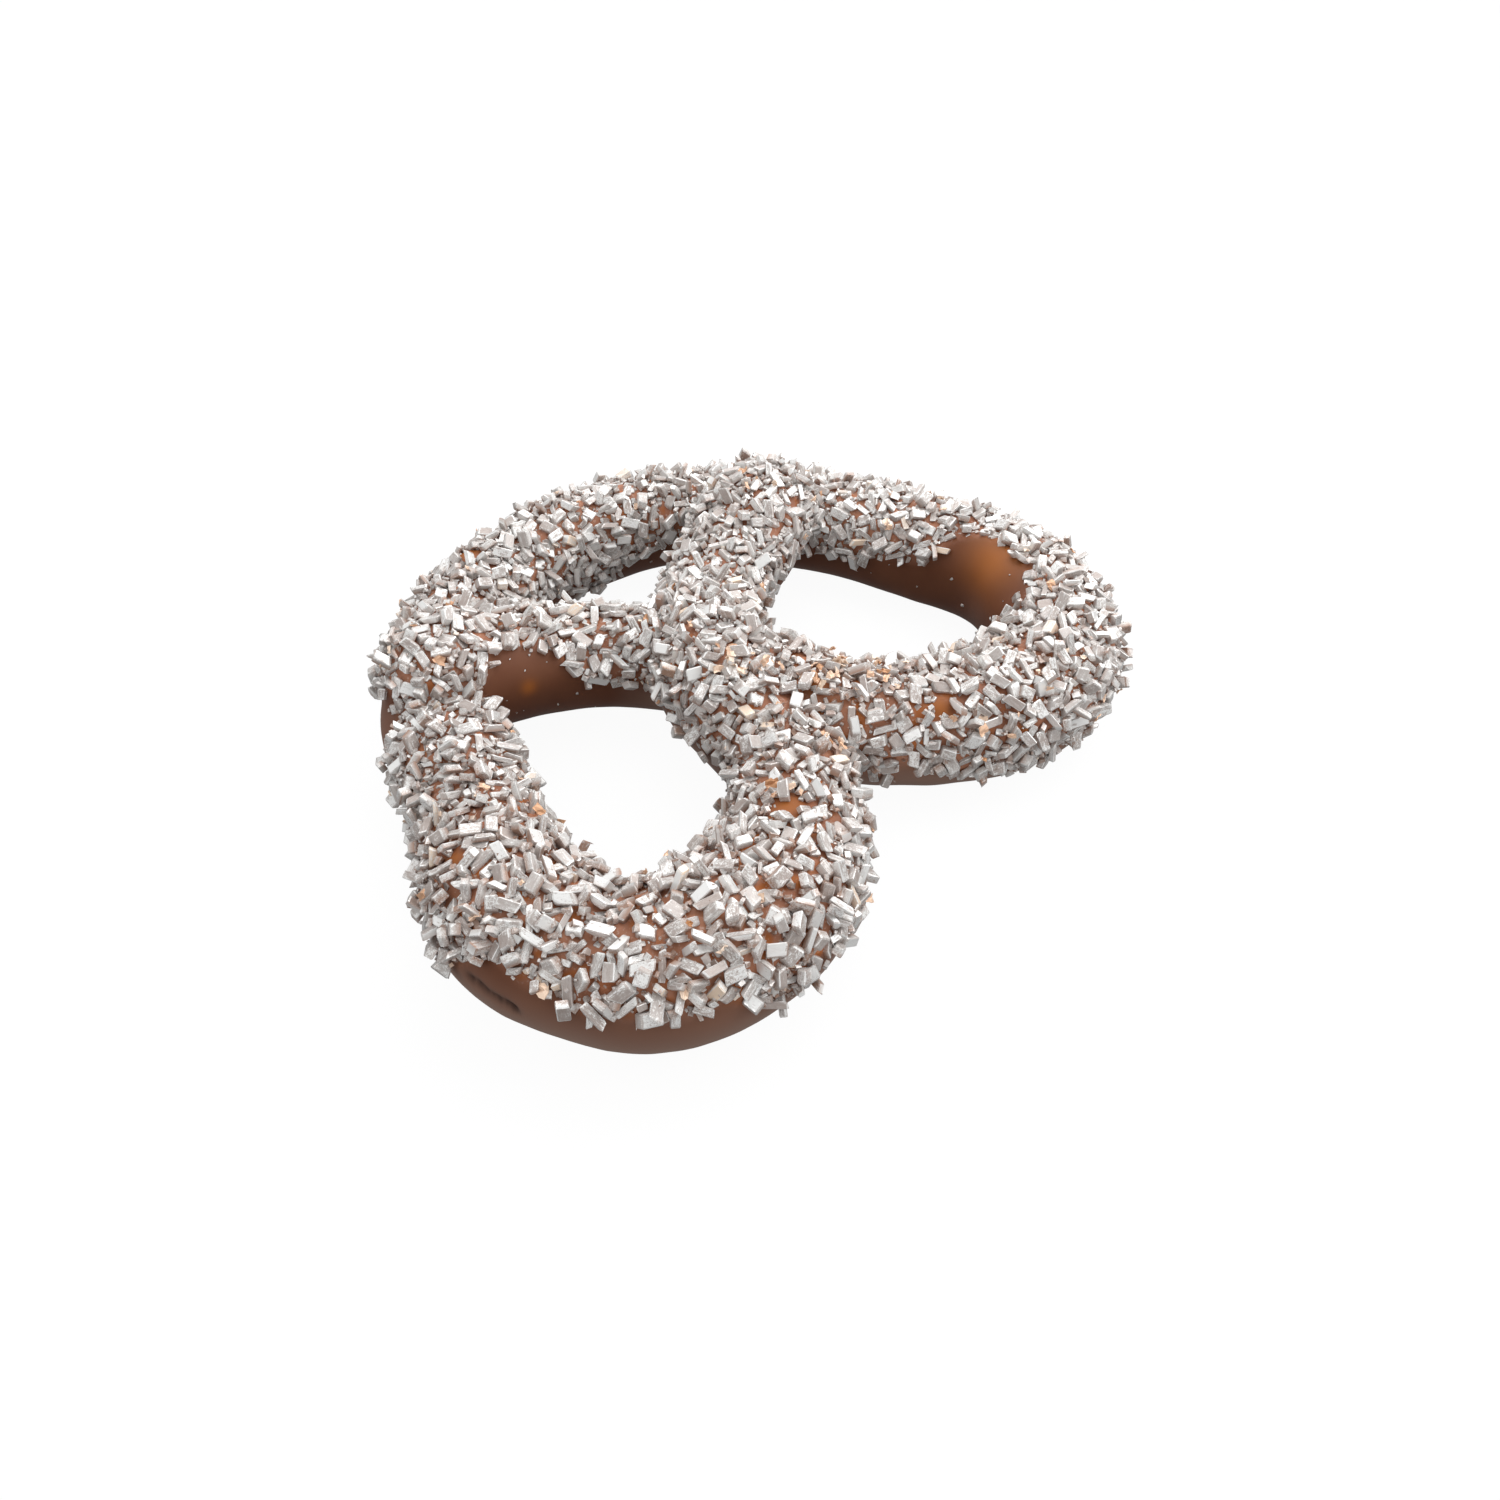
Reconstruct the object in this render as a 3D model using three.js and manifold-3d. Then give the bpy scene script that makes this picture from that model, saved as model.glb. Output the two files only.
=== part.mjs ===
// A pretzel twist dipped in milk chocolate and strewn with coarse pearly sugar crystals.
// Millimetres, +Z up. It lies flat on Z = 0 with the notch between its two lobes towards -Y
// and the back bend towards +Y.
import * as THREE from "three";
import { mergeVertices } from "three/addons/utils/BufferGeometryUtils.js";
import Module from "manifold-3d";

// The strand: one rope of dough under its chocolate. Its half width also takes in the mean
// depth of the small crystals that lie between the large ones.
const middleHeight = 4.9; // of the strand's middle, where it lies on the table
const roundness = 0.9; // height of the strand's upper half over its half width
const undersideDepth = 5.4; // from the strand's middle down, before the table cuts it flat
const footSquareness = 0.85; // 1 is a round lower half, less is squarer
const unevenness = 0.035; // swelling of the hand-rolled strand, as a share of its half width
const waveLength = 17; // between two swellings along the strand

// The back bend, half an ellipse that both halves of the twist share
const backBend = { y: 1.0, halfWidth: 23.9, depth: 22.8, halfWidthOfStrand: 5 };
const backBendTurns = [31, 61]; // degrees from the side to the back middle

// Each half of the twist, from the end of its tail to the back bend. The strand of the right
// lobe passes under the other one and ends at the left, and the left lobe's ends at the right.
const rightLobeHalf = {
  side: 1,
  tailTip: [-24.2, 16.0],
  tailTipHeight: 7.4,
  tailEnd: [-19.1, 12.4],
  tailEndHeight: 7.5,
  tail: [-5.8, 6.1],
  tailHeight: 5.9,
  crossing: [-0.2, -3.1],
  crossingHeight: 5.9,
  neck: [3.4, -13.1],
  lobe: { x: 18.1, y: -10.6, radius: 10.9, turns: [-112, -60, -2] },
  flank: [26.8, 0.2],
  halfWidths: { tailEnd: 5.6, tail: 4.2, crossing: 4.5, neck: 5.4, lobe: 5.9, flank: 5.1 },
};
const leftLobeHalf = {
  side: -1,
  tailTip: [21.4, 14.5],
  tailTipHeight: 7.1,
  tailEnd: [17.1, 11.6],
  tailEndHeight: 7.9,
  tail: [5.0, 5.9],
  tailHeight: 5.8,
  crossing: [-2.4, -2.5],
  crossingHeight: 6.8,
  neck: [-4.6, -14.2],
  lobe: { x: -17.7, y: -11.8, radius: 10.7, turns: [-112, -53, 2] },
  flank: [-25.1, 0.1],
  halfWidths: { tailEnd: 5.5, tail: 5.2, crossing: 5.5, neck: 5.1, lobe: 6.4, flank: 5.3 },
};

// How finely the strand is faceted
const sides = 14;
const ringStep = 3;
const tipLength = 4.2; // of the rounded tip at each tail
const tipRings = 3;
const tipStart = 0.3; // share of the quarter turn at which the tip's small flat begins

// The largest sugar crystals, which stand out of the coating
const crystalCount = 240;
const crystal = { length: 1.9, width: 1.1, depth: 1.0 };
const crystalSizes = { largest: 1.15, smallest: 0.85 };
const crystalSpacing = 3;
const crystalLift = 0.12; // of a crystal's middle above the strand's skin
const crystalTilt = THREE.MathUtils.degToRad(25);
const sugarFrom = THREE.MathUtils.degToRad(-12); // on the outer flank, from level
const sugarTo = THREE.MathUtils.degToRad(163); // on the inner flank
const sugarOnTip = 0.45; // share of a tip's roundness past which it carries sugar
const seed = 20;

const colour = new THREE.Color(0xb3a8a5); // the silver sugar with the chocolate between it

const wasm = await Module();
wasm.setup();

// A seeded draw between 0 and 1
function makeDraw(start) {
  let state = start;
  return () => {
    state = (state + 0x6d2b79f5) | 0;
    let mixed = Math.imul(state ^ (state >>> 15), 1 | state);
    mixed = (mixed + Math.imul(mixed ^ (mixed >>> 7), 61 | mixed)) ^ mixed;
    return ((mixed ^ (mixed >>> 14)) >>> 0) / 4294967296;
  };
}

function solidFrom(geometry) {
  const bare = geometry.clone();
  bare.deleteAttribute("normal");
  bare.deleteAttribute("uv");
  const merged = mergeVertices(bare);
  const vertProperties = merged.attributes.position.array;
  const triVerts = new Uint32Array(merged.index.array);
  return new wasm.Manifold(new wasm.Mesh({ numProp: 3, vertProperties, triVerts }));
}

// Stations of one half, from its tail's tip to its last point before the back middle
function stationsOf(half) {
  const { halfWidths, lobe, side } = half;
  const stations = [];
  const add = ([x, y], halfWidth, z = middleHeight) => stations.push({ x, y, z, halfWidth });
  add(half.tailTip, halfWidths.tailEnd, half.tailTipHeight);
  add(half.tailEnd, halfWidths.tailEnd, half.tailEndHeight);
  add(half.tail, halfWidths.tail, half.tailHeight);
  add(half.crossing, halfWidths.crossing, half.crossingHeight);
  add(half.neck, halfWidths.neck);
  for (const degrees of lobe.turns) {
    const turn = THREE.MathUtils.degToRad(degrees);
    const x = lobe.x + side * lobe.radius * Math.cos(turn);
    add([x, lobe.y + lobe.radius * Math.sin(turn)], halfWidths.lobe);
  }
  add(half.flank, halfWidths.flank);
  for (const degrees of backBendTurns) {
    const turn = THREE.MathUtils.degToRad(degrees);
    const x = side * backBend.halfWidth * Math.cos(turn);
    add([x, backBend.y + backBend.depth * Math.sin(turn)], backBend.halfWidthOfStrand);
  }
  return stations;
}

const backMiddle = {
  x: 0,
  y: backBend.y + backBend.depth,
  z: middleHeight,
  halfWidth: backBend.halfWidthOfStrand,
};
const stations = [
  ...stationsOf(rightLobeHalf),
  backMiddle,
  ...stationsOf(leftLobeHalf).reverse(),
];
const route = new THREE.CatmullRomCurve3(
  stations.map((s) => new THREE.Vector3(s.x, s.y, s.z)),
  false,
  "centripetal",
);
route.arcLengthDivisions = 1200;
const girth = new THREE.CatmullRomCurve3(
  stations.map((s) => new THREE.Vector3(s.halfWidth, 0, 0)),
  false,
  "catmullrom",
);
const routeLength = route.getLength();

// The strand at a distance along it: its middle, its outward side and its half width
function strandAt(distance, closing = 1) {
  const t = route.getUtoTmapping(distance / routeLength);
  const middle = route.getPoint(t);
  const tangent = route.getTangent(t).setZ(0).normalize();
  const outward = new THREE.Vector3(tangent.y, -tangent.x, 0);
  const halfWidth = girth.getPoint(t).x;
  return { distance, middle, outward, halfWidth, closing };
}

// Rings along the whole strand, drawn in to a dome at both tips
function makeRings() {
  const rings = [];
  for (let i = 0; i < tipRings; i++) {
    const turn = (Math.PI / 2) * (tipStart + ((1 - tipStart) * i) / tipRings);
    rings.push(strandAt(tipLength * (1 - Math.cos(turn)), Math.sin(turn)));
  }
  const steps = Math.round((routeLength - 2 * tipLength) / ringStep);
  const farTip = [...rings]
    .reverse()
    .map((ring) => strandAt(routeLength - ring.distance, ring.closing));
  for (let i = 0; i <= steps; i++) {
    rings.push(strandAt(tipLength + ((routeLength - 2 * tipLength) * i) / steps));
  }
  return [...rings, ...farTip];
}

// A point of the skin: turn is 0 at the outer side, a quarter turn on top, half a turn inside
function skinPoint(ring, turn, reach = 1) {
  const wave = (2 * Math.PI * ring.distance) / waveLength;
  const swell = 1 + unevenness * (Math.sin(wave) + Math.sin(0.37 * wave + 2 * turn));
  const across = Math.cos(turn);
  const rise = Math.sin(turn);
  const size = reach * ring.closing;
  let sideways = ring.halfWidth * swell * across;
  let up = ring.halfWidth * roundness * swell * rise;
  if (rise < 0) {
    sideways = ring.halfWidth * swell * Math.sign(across) * Math.abs(across) ** footSquareness;
    up = -undersideDepth * (-rise) ** footSquareness;
  }
  const point = ring.middle.clone().addScaledVector(ring.outward, size * sideways);
  point.z = Math.max(0, point.z + size * up);
  return point;
}

// A closed stretch of the strand between two rings: a cylinder whose vertices move on to it
function strandStretch(rings, first, last) {
  const steps = last - first;
  const stretch = new THREE.CylinderGeometry(1, 1, 1, sides, steps);
  const position = stretch.attributes.position;
  for (let i = 0; i < position.count; i++) {
    const ring = rings[first + Math.round((position.getY(i) + 0.5) * steps)];
    const turn = Math.atan2(position.getZ(i), position.getX(i));
    const reach = Math.round(Math.hypot(position.getX(i), position.getZ(i)));
    const point = skinPoint(ring, turn, reach);
    position.setXYZ(i, point.x, point.y, point.z);
  }
  return solidFrom(stretch);
}

// Whether a point of the skin lies inside another stretch of the strand
function isBuried(point, ring, rings) {
  const apart = 2.2 * ring.halfWidth;
  return rings.some((other) => {
    if (Math.abs(other.distance - ring.distance) < apart) return false;
    const offset = point.clone().sub(other.middle);
    offset.z /= roundness;
    return offset.length() < other.halfWidth + crystalLift;
  });
}

function placeCrystals(rings) {
  const draw = makeDraw(seed);
  const spots = [];
  for (let tries = 0; spots.length < crystalCount && tries < 40000; tries++) {
    const ring = rings[Math.floor(draw() * rings.length)];
    const turn = THREE.MathUtils.lerp(sugarFrom, sugarTo, draw());
    const point = skinPoint(ring, turn);
    if (ring.closing < sugarOnTip || isBuried(point, ring, rings)) continue;
    if (spots.some((spot) => spot.point.distanceTo(point) < crystalSpacing)) continue;
    const normal = ring.outward.clone().multiplyScalar(Math.cos(turn));
    normal.z = Math.sin(turn) / roundness;
    spots.push({ point, normal: normal.normalize() });
  }
  const upright = new THREE.Vector3(0, 0, 1);
  return spots.map(({ point, normal }, i) => {
    const size = THREE.MathUtils.lerp(crystalSizes.largest, crystalSizes.smallest, i / spots.length);
    const box = new THREE.BoxGeometry(crystal.length, crystal.width, crystal.depth);
    box.scale(size, size, size);
    box.rotateY((2 * draw() - 1) * crystalTilt);
    box.rotateX((2 * draw() - 1) * crystalTilt);
    box.rotateZ(draw() * Math.PI);
    box.applyQuaternion(new THREE.Quaternion().setFromUnitVectors(upright, normal));
    const middle = point.clone().addScaledVector(normal, crystalLift);
    box.translate(middle.x, middle.y, middle.z);
    return solidFrom(box);
  });
}

// The body without the small hollows that fused crystals close off
function withoutHollows(solid) {
  return solid.decompose().reduce((best, shell) => (shell.volume() > best.volume() ? shell : best));
}

function makePretzel() {
  const rings = makeRings();
  const last = rings.length - 1;
  const back = rings.reduce((best, ring, i) => (ring.middle.y > rings[best].middle.y ? i : best), 0);
  const underStrand = strandStretch(rings, 0, back);
  const overStrand = strandStretch(rings, back, last);
  const joined = wasm.Manifold.union([underStrand, overStrand, ...placeCrystals(rings)]);
  const mesh = withoutHollows(joined).getMesh();
  const geometry = new THREE.BufferGeometry();
  geometry.setAttribute("position", new THREE.BufferAttribute(mesh.vertProperties, 3));
  geometry.setIndex(new THREE.BufferAttribute(mesh.triVerts, 1));
  geometry.computeVertexNormals();
  const material = new THREE.MeshStandardMaterial({ color: colour, roughness: 0.4, metalness: 0 });
  const pretzel = new THREE.Mesh(geometry, material);
  pretzel.name = "pretzel";
  return pretzel;
}

const group = new THREE.Group();
group.add(makePretzel());

export default group;
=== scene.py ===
# A pretzel twist dipped in milk chocolate, under coarse pearly sugar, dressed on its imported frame
import itertools
import math
import random
import bpy
import bmesh
from mathutils import Matrix, Quaternion, Vector, noise
from mathutils.kdtree import KDTree


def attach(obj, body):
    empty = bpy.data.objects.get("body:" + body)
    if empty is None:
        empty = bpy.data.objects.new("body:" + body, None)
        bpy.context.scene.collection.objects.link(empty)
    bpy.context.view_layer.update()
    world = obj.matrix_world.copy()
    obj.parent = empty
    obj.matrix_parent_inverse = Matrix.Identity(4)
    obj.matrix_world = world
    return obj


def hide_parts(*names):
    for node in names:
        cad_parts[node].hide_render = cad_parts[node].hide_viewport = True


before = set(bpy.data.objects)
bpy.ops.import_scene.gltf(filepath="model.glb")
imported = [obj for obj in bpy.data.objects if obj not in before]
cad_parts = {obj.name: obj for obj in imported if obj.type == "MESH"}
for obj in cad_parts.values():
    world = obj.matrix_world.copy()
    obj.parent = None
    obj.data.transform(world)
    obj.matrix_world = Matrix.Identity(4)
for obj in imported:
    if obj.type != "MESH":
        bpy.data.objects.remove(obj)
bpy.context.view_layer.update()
mm = 0.001  # every piece is modelled in millimetres and brought to metres when it is finished

# The strand's route and thickness, in millimetres, as the solid in the frame has them
twist = {
    "middleHeight": 4.9,
    "roundness": 0.9,
    "undersideDepth": 5.4,
    "footSquareness": 0.85,
    "unevenness": 0.035,
    "waveLength": 17,
    "secondWave": (0.37, 2),  # its pace against the first, and how often it runs round the strand
    "tipLength": 4.2,
    # an arc of an ellipse, with the turns, in degrees, at which its stations stand
    "backBend": {"y": 1.0, "halfWidth": 23.9, "depth": 22.8, "strand": 5.0, "turns": (31, 61)},
    # the stations of either half, from its tip on: x, y, height and half width
    "rightLobeHalf": {
        "side": 1,
        "tail": [(-24.2, 16.0, 7.4, 5.6), (-19.1, 12.4, 7.5, 5.6), (-5.8, 6.1, 5.9, 4.2)],
        "crossing": [(-0.2, -3.1, 5.9, 4.5), (3.4, -13.1, 4.9, 5.4)],
        "lobe": {"x": 18.1, "y": -10.6, "radius": 10.9, "strand": 5.9, "turns": (-112, -60, -2)},
        "flank": (26.8, 0.2, 4.9, 5.1),
    },
    "leftLobeHalf": {
        "side": -1,
        "tail": [(21.4, 14.5, 7.1, 5.5), (17.1, 11.6, 7.9, 5.5), (5.0, 5.9, 5.8, 5.2)],
        "crossing": [(-2.4, -2.5, 6.8, 5.5), (-4.6, -14.2, 4.9, 5.1)],
        "lobe": {"x": -17.7, "y": -11.8, "radius": 10.7, "strand": 6.4, "turns": (-112, -53, 2)},
        "flank": (-25.1, 0.1, 4.9, 5.3),
    },
}

chocolate = {
    "underSugar": 0.35,  # the solid's strand takes in this much of the small crystals
    "sugarBed": 0.3,  # how much deeper the skin lies where the sugar covers it
    "tipInset": 0.6,  # how much shorter the coat is than the solid at either end
    "firstRing": 0.12,  # from either tip
    "sides": 40,
    "ringStep": 0.9,
    "splineSteps": 60,  # between two stations, to measure the route by
    "voxel": 0.33,
    "smoothing": (0.5, 8),  # strength and passes, to let the coat run together in the crossings
    "dents": ((0.16, 7.0), (0.05, 2.2)),  # depth and width of the coat's unevenness
    "crust": (0.26, 1.15),  # the same for the lumps between the crystals
    "middle": (0, -2),  # the outer skin faces away from here
    "outerGain": 1.6,  # how soon it counts as outer
    "dustAndGlow": (0.1, 1.4),  # where the dust and the painted glow begin outside the sugar's edge, and over what width they thicken
    "paintedFootSheen": (1.6, 5.0),  # how pale the painted sheen makes the foot, and the height over which that fades
    "footOut": 0.55,  # how far the coat that settled on the sheet stands out
    "footHeight": 1.7,
    "footFade": 1.5,  # how fast it thins out towards that height
    "footRaggedness": (0.55, 0.9),  # the mean share of that, and how much it varies
    "footWaves": 0.3,  # in each millimetre
    "footNoise": (9, 2, 5),  # where in the noise they begin
    "foldAndShadow": {  # a short one in the coat's edge, with a painted shadow in it: the points it runs through, its reach and depth
        "run": [
            (-33.65, -13.6, 6.0),
            (-33.5, -14.3, 6.0),
            (-33.4, -14.8, 5.8),
            (-33.2, -15.4, 5.7),
            (-33.1, -15.9, 5.6),
            (-32.9, -16.5, 5.6),
            (-32.8, -17.0, 5.4),
        ],
        "reach": 0.45,
        "depth": 0.5,
        "shade": 2.2,  # how wide its painted shadow is
    },
    "paintedGlow": [  # a painted golden glow and highlight on the coat: middle and reach
        ((25.4, -10.6, 9.0), 3.1),
        ((-15.4, 5.9, 7.6), 0.65),
        ((-10.0, -19.4, 9.4), 1.5),
        ((1.0, -11.4, 9.0), 1.3),
        ((-30.3, -7.4, 9.4), 1.1),
        ((-9.6, 23.6, 8.6), 1.3),
        ((-19.0, -24.8, 9.4), 0.9),
        ((13.5, -23.4, 9.0), 1.1),
        ((-28.4, -21.6, 8.8), 0.9),
        ((6.5, -19.8, 8.6), 1.2),
    ],
}


def splinePoint(before, start, end, after, share):
    # a centripetal spline through four stations of x, y, z and half width
    def gap(a, b):
        return math.sqrt((a.xyz - b.xyz).length)

    first, middle, last = gap(before, start), gap(start, end), gap(end, after)
    leaving = (start - before) / first - (end - before) / (first + middle) + (end - start) / middle
    arriving = (end - start) / middle - (after - start) / (middle + last) + (after - end) / last
    leaving, arriving = leaving * middle, arriving * middle
    square = -3 * start + 3 * end - 2 * leaving - arriving
    cube = 2 * start - 2 * end + leaving + arriving
    return start + leaving * share + square * share**2 + cube * share**3


def stationsOf(half):
    lobe, bend = half["lobe"], twist["backBend"]
    stations = [Vector(s) for s in half["tail"] + half["crossing"]]
    for degrees in lobe["turns"]:
        turn = math.radians(degrees)
        x = lobe["x"] + half["side"] * lobe["radius"] * math.cos(turn)
        y = lobe["y"] + lobe["radius"] * math.sin(turn)
        stations.append(Vector((x, y, twist["middleHeight"], lobe["strand"])))
    stations.append(Vector(half["flank"]))
    for degrees in bend["turns"]:
        turn = math.radians(degrees)
        x = half["side"] * bend["halfWidth"] * math.cos(turn)
        y = bend["y"] + bend["depth"] * math.sin(turn)
        stations.append(Vector((x, y, twist["middleHeight"], bend["strand"])))
    return stations


def strandRings():
    # rings at even steps along the whole strand, closing in to a dome at both tips
    bend = twist["backBend"]
    back = Vector((0, bend["y"] + bend["depth"], twist["middleHeight"], bend["strand"]))
    far = stationsOf(twist["leftLobeHalf"])
    stations = stationsOf(twist["rightLobeHalf"]) + [back] + far[::-1]
    stations = [2 * stations[0] - stations[1]] + stations + [2 * stations[-1] - stations[-2]]
    line = []
    for i in range(1, len(stations) - 2):
        for step in range(chocolate["splineSteps"]):
            line.append(splinePoint(*stations[i - 1 : i + 3], step / chocolate["splineSteps"]))
    line.append(stations[-2])
    distances = [0.0]
    for a, b in zip(line, line[1:]):
        distances.append(distances[-1] + (b.xyz - a.xyz).length)
    inset = chocolate["tipInset"]
    total = distances[-1] - 2 * inset
    count = round(total / chocolate["ringStep"])
    rings, at = [], 0
    for i in range(count + 1):
        fromTip = min(max(total * i / count, chocolate["firstRing"]), total - chocolate["firstRing"])
        distance = inset + fromTip
        while distances[at + 1] < distance:
            at += 1
        share = (distance - distances[at]) / (distances[at + 1] - distances[at])
        point = line[at].lerp(line[at + 1], share)
        along = (line[at + 1].xyz - line[at].xyz).normalized()
        toTip = min(fromTip, total - fromTip, twist["tipLength"]) / twist["tipLength"]
        rings.append({
            "middle": point.xyz,
            "outward": Vector((along.y, -along.x, 0)).normalized(),
            "halfWidth": point.w - chocolate["underSugar"],
            "distance": distance,
            "closing": math.sqrt(1 - (1 - toTip) ** 2),
        })
    return rings


def skinPoint(ring, turn):
    # turn is 0 at the outer side, a quarter turn on top and half a turn at the inner side
    wave = 2 * math.pi * ring["distance"] / twist["waveLength"]
    pace, turns = twist["secondWave"]
    swell = 1 + twist["unevenness"] * (math.sin(wave) + math.sin(pace * wave + turns * turn))
    across, rise = math.cos(turn), math.sin(turn)
    sideways = ring["halfWidth"] * swell * across
    up = ring["halfWidth"] * twist["roundness"] * swell * rise
    if rise < 0:
        squareness = twist["footSquareness"]
        sideways = ring["halfWidth"] * swell * math.copysign(abs(across) ** squareness, across)
        up = -twist["undersideDepth"] * (-rise) ** squareness
    point = ring["middle"] + ring["outward"] * sideways * ring["closing"]
    point.z = max(0.0, point.z + up * ring["closing"])
    return point


def growStrand(bm, rings):
    # a capped circle whose edge is drawn out from ring to ring
    turnOf = bm.verts.layers.float["turn"]
    verts = bmesh.ops.create_circle(bm, cap_ends=True, segments=chocolate["sides"], radius=1)["verts"]
    edges = list({edge for vert in verts for edge in vert.link_edges})
    for vert in verts:
        vert[turnOf] = math.atan2(vert.co.y, vert.co.x)
        vert.co = skinPoint(rings[0], vert[turnOf])
    for ring in rings[1:]:
        grown = bmesh.ops.extrude_edge_only(bm, edges=edges)["geom"]
        verts = {part for part in grown if isinstance(part, bmesh.types.BMVert)}
        edges = [part for part in grown if isinstance(part, bmesh.types.BMEdge)]
        edges = [edge for edge in edges if set(edge.verts) <= verts]
        for vert in verts:
            vert.co = skinPoint(ring, vert[turnOf])
    bmesh.ops.holes_fill(bm, edges=edges, sides=0)


def newPiece(name, bm, material):
    mesh = bpy.data.meshes.new(name)
    bm.to_mesh(mesh)
    bm.free()
    piece = bpy.data.objects.new(name, mesh)
    bpy.context.scene.collection.objects.link(piece)
    if material:
        mesh.materials.append(material)
    return piece


def applyModifiers(piece):
    bpy.context.view_layer.update()
    shaped = piece.evaluated_get(bpy.context.evaluated_depsgraph_get())
    mesh = bpy.data.meshes.new_from_object(shaped)
    piece.modifiers.clear()
    piece.data = mesh


def held(value):
    # between 0 and 1
    return min(max(value, 0.0), 1.0)


def falloff(distance, reach):
    # 1 in the middle of a spot, fading out round it
    return math.exp(-((distance / reach) ** 2))


def outwards(point, normal):
    # 1 where the coat faces away from the twist's middle, 0 on the walls of its holes
    away = (point.xy - Vector(chocolate["middle"])).normalized()
    return held(normal.xy.dot(away) * chocolate["outerGain"])


def makeChocolate(rings, ringTree, material):
    bm = bmesh.new()
    bm.verts.layers.float.new("turn")
    back = max(range(len(rings)), key=lambda i: rings[i]["middle"].y)
    growStrand(bm, rings[: back + 3])
    growStrand(bm, rings[back - 2 :])
    bmesh.ops.recalc_face_normals(bm, faces=bm.faces)
    piece = newPiece("chocolate_twist", bm, material)
    remesh = piece.modifiers.new("run together", "REMESH")
    remesh.mode = "VOXEL"
    remesh.voxel_size = chocolate["voxel"]
    smooth = piece.modifiers.new("soften", "SMOOTH")
    smooth.factor, smooth.iterations = chocolate["smoothing"]
    applyModifiers(piece)

    bm = bmesh.new()
    bm.from_mesh(piece.data)
    bm.normal_update()
    layers = [bm.verts.layers.float.new(name) for name in ("sugared", "paintedGlow", "paintedFootSheen", "foldAndShadow", "wet")]
    sugared, paintedGlow, paintedFootSheen, foldAndShadow, wet = layers
    crust, crustWidth = chocolate["crust"]
    dustOutside, dustWidth = chocolate["dustAndGlow"]
    sheenAtFoot, sheenHeight = chocolate["paintedFootSheen"]
    meanOut, outVaries = chocolate["footRaggedness"]
    footWaves = Vector((chocolate["footWaves"], chocolate["footWaves"], 0.0))
    footNoise = Vector(chocolate["footNoise"])
    crease = chocolate["foldAndShadow"]
    for vert in bm.verts:
        vert[sugared] = held((sugarRise(vert.co, rings, ringTree) + dustOutside) / dustWidth)
        outer = outwards(vert.co, vert.normal)
        # painted sheen: the foot's outer side made paler, where the pale surroundings would light and
        # reflect in it
        vert[paintedFootSheen] = outer * held(sheenAtFoot - vert.co.z / sheenHeight)
        vert[wet] = wetness(vert.co)
        # painted golden glow
        for spot, reach in chocolate["paintedGlow"]:
            vert[paintedGlow] += falloff((vert.co - Vector(spot)).length, reach)
        move = vert.normal * -chocolate["sugarBed"] * vert[sugared]
        for dent, width in chocolate["dents"]:
            move += vert.normal * dent * noise.noise(vert.co / width)
        move += vert.normal * crust * vert[sugared] * noise.noise(vert.co / crustWidth)
        for spot in crease["run"]:
            near = falloff((vert.co - Vector(spot)).length, crease["reach"])
            move -= vert.normal * crease["depth"] * near
            # painted shadow along the fold, reaching wider than its dent
            vert[foldAndShadow] = max(vert[foldAndShadow], held(near * crease["shade"]))
        settled = max(0.0, 1 - vert.co.z / chocolate["footHeight"]) ** chocolate["footFade"]
        ragged = meanOut + outVaries * noise.noise(vert.co * footWaves + footNoise)
        out = settled * chocolate["footOut"] * max(0.0, ragged) * outer
        vert.co += move + Vector((vert.normal.x, vert.normal.y, 0)) * out
        vert.co.z = max(vert.co.z, 0.0)
    bm.to_mesh(piece.data)
    bm.free()
    piece.data.shade_smooth()
    return piece


# Where the sugar lies: from the top of the strand down to a ragged edge on either side
coverage = {
    "edge": -1.1,  # its height above the strand's middle
    "raggedness": 0.9,
    "raggedWidth": 3.4,
    "raggedNoise": (3, 7, 1),  # where in the noise the edge begins
    "fade": 0.5,  # the width over which the sugar thins out
    "shifted": [  # places where the edge lies higher or lower: where, how far round it, by how much
        ((-31.8, -18.5), 8.5, 3.4),
        ((-26.5, -25.5), 4.0, 1.5),
        ((-23.5, -27.5), 3.0, 2.0),
        ((-34.0, -6.0), 3.5, 1.2),
        ((-26.0, 10.3), 2.3, 4.6),
        ((-4.0, -22.0), 7.0, -0.8),
        ((24.6, -10.8), 5.2, 7.4),
        ((26.0, -6.8), 2.4, 1.5),
        ((23.2, -15.3), 2.2, 1.4),
        ((22.4, -2.0), 3.5, 1.2),
        ((-15.4, 6.5), 4.4, 4.8),
        ((-34.4, -14.6), 2.6, 1.6),
        ((1.5, 19.7), 4.4, -2.6),
        ((12.0, -24.0), 9.0, -1.0),
    ],
    "bareRaggedness": 0.3,
    "bareSpots": [  # middle and reach of the places on top that the sugar missed
        ((-10.0, -19.4, 9.4), 0.7),
        ((-9.6, 23.6, 8.6), 0.8),
        ((1.0, -11.4, 9.0), 0.7),
        ((-30.3, -7.4, 9.4), 0.6),
        ((6.5, -19.8, 8.6), 0.65),
        ((3.1, -19.9, 3.4), 0.8),
    ],
    "wet": [  # where the coat was softer, so that more of it climbed over the sugar, or stiffer
        ((-21.0, -21.0), 12.0, 0.55),
        ((-3.5, -18.5), 6.0, 0.55),
        ((4.0, -12.5), 5.0, 0.5),
        ((7.0, -20.5), 5.0, 0.35),
        ((-16.0, 9.0), 6.0, 0.5),
        ((-12.0, -25.0), 5.0, 0.4),
        ((-29.0, -6.0), 6.0, 0.5),
        ((-5.0, -5.0), 6.0, -0.15),
        ((26.0, 2.0), 14.0, -0.4),
        ((0.0, 22.0), 14.0, -0.3),
    ],
}


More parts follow.
